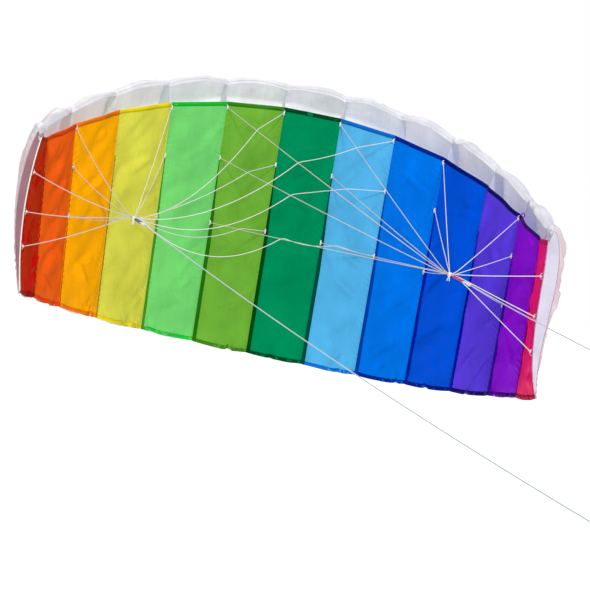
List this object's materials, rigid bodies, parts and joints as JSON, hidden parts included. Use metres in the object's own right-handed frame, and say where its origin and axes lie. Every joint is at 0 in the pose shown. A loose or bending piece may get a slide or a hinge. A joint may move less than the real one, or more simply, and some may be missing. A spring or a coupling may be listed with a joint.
{
  "type": "two-line parafoil kite",
  "caption": "Soft ram-air kite in flight: arched canopy of open-mouthed cells with a coloured underside, white upper skin, bridle fans and two flying lines.",
  "frame": {"origin": "on the underside at the middle of the span, a quarter of the chord behind the intake lip, where the wing's lift acts", "axes": "+X along the span to the right as the flyer sees it, -Y towards the flyer (coloured underside), +Z towards the leading edge, which flies upwards"},
  "size_m": [0.921, 0.9513, 0.5191],
  "materials": {
    "red_nylon": "thin satin taffeta, faint ripstop grid",
    "vermilion_nylon": "thin satin taffeta, faint ripstop grid",
    "orange_nylon": "thin satin taffeta, faint ripstop grid",
    "yellow_nylon": "thin satin taffeta, faint ripstop grid",
    "light_green_nylon": "thin satin taffeta, faint ripstop grid",
    "lime_green_nylon": "thin satin taffeta, faint ripstop grid",
    "emerald_nylon": "thin satin taffeta, faint ripstop grid",
    "sky_blue_nylon": "thin satin taffeta, faint ripstop grid",
    "azure_nylon": "thin satin taffeta, faint ripstop grid",
    "royal_blue_nylon": "thin satin taffeta, faint ripstop grid",
    "indigo_nylon": "thin satin taffeta, faint ripstop grid",
    "purple_nylon": "thin satin taffeta, faint ripstop grid",
    "crimson_nylon": "thin satin taffeta, faint ripstop grid",
    "white_nylon": "thin translucent white taffeta",
    "rib_nylon": "thin translucent white taffeta",
    "line_cord": "braided white polyester cord",
    "blue_ribbon": "woven ribbon, matt",
    "red_ribbon": "woven ribbon, matt"
  },
  "bodies": {
    "canopy": {"lower_panel_03": "orange_nylon", "upper_panel_03": "white_nylon", "lower_panel_04": "yellow_nylon", "upper_panel_04": "white_nylon", "lower_panel_05": "light_green_nylon", "upper_panel_05": "white_nylon", "lower_panel_06": "lime_green_nylon", "upper_panel_06": "white_nylon", "lower_panel_07": "emerald_nylon", "upper_panel_07": "white_nylon", "lower_panel_08": "sky_blue_nylon", "upper_panel_08": "white_nylon", "lower_panel_09": "azure_nylon", "upper_panel_09": "white_nylon", "lower_panel_10": "royal_blue_nylon", "upper_panel_10": "white_nylon", "lower_panel_11": "indigo_nylon", "upper_panel_11": "white_nylon", "rib_03": "rib_nylon", "rib_04": "rib_nylon", "rib_05": "rib_nylon", "rib_06": "rib_nylon", "rib_07": "rib_nylon", "rib_08": "rib_nylon", "rib_09": "rib_nylon", "rib_10": "rib_nylon", "rib_11": "rib_nylon", "rib_12": "rib_nylon", "bridle_01": "line_cord", "bridle_03": "line_cord", "bridle_05": "line_cord", "bridle_06": "line_cord", "bridle_07": "line_cord", "bridle_08": "line_cord", "bridle_09": "line_cord", "bridle_10": "line_cord", "bridle_12": "line_cord", "bridle_14": "line_cord", "left_bridle_knot": "line_cord", "right_bridle_knot": "line_cord"},
    "left_tip": {"lower_panel_01": "red_nylon", "lower_panel_02": "vermilion_nylon", "upper_panel_01": "white_nylon", "upper_panel_02": "white_nylon", "rib_01": "rib_nylon", "rib_02": "rib_nylon"},
    "right_tip": {"lower_panel_12": "purple_nylon", "lower_panel_13": "crimson_nylon", "upper_panel_12": "white_nylon", "upper_panel_13": "white_nylon", "rib_13": "rib_nylon", "rib_14": "rib_nylon"},
    "left_tow": {"left_tow_loop": "line_cord", "left_ribbon_tab": "blue_ribbon"},
    "left_line": {"left_line_knot": "line_cord", "left_flying_line": "line_cord"},
    "right_tow": {"right_tow_loop": "line_cord", "right_ribbon_tab": "red_ribbon"},
    "right_line": {"right_line_knot": "line_cord", "right_flying_line": "line_cord"}
  },
  "joints": [
    {"name": "left_tip_curl", "type": "hinge", "parent": "canopy", "child": "left_tip", "pos_m": [-0.3692, -0.262, 0.0084], "axis": [-0.0943, 0.0419, 0.9947], "range_deg": [0, 15], "deforming": ["bridle_01"]},
    {"name": "right_tip_curl", "type": "hinge", "parent": "canopy", "child": "right_tip", "pos_m": [0.3775, -0.2556, 0.0084], "axis": [0.0317, -0.0379, -0.9988], "range_deg": [0, 15], "deforming": ["bridle_14"]},
    {"name": "left_tow_swing", "type": "hinge", "parent": "canopy", "child": "left_tow", "pos_m": [-0.22, -0.399, -0.116], "axis": [0, 0, 1], "range_deg": [-35, 10]},
    {"name": "left_line_dip", "type": "hinge", "parent": "left_tow", "child": "left_line", "pos_m": [-0.2038, -0.41, -0.121], "axis": [0.5594, 0.8289, 0], "range_deg": [-30, 30]},
    {"name": "right_tow_swing", "type": "hinge", "parent": "canopy", "child": "right_tow", "pos_m": [0.268, -0.423, -0.101], "axis": [0, 0, 1], "range_deg": [-40, 3]},
    {"name": "right_line_dip", "type": "hinge", "parent": "right_tow", "child": "right_line", "pos_m": [0.2951, -0.4443, -0.1084], "axis": [0.6178, 0.7863, 0], "range_deg": [-30, 30]}
  ]
}
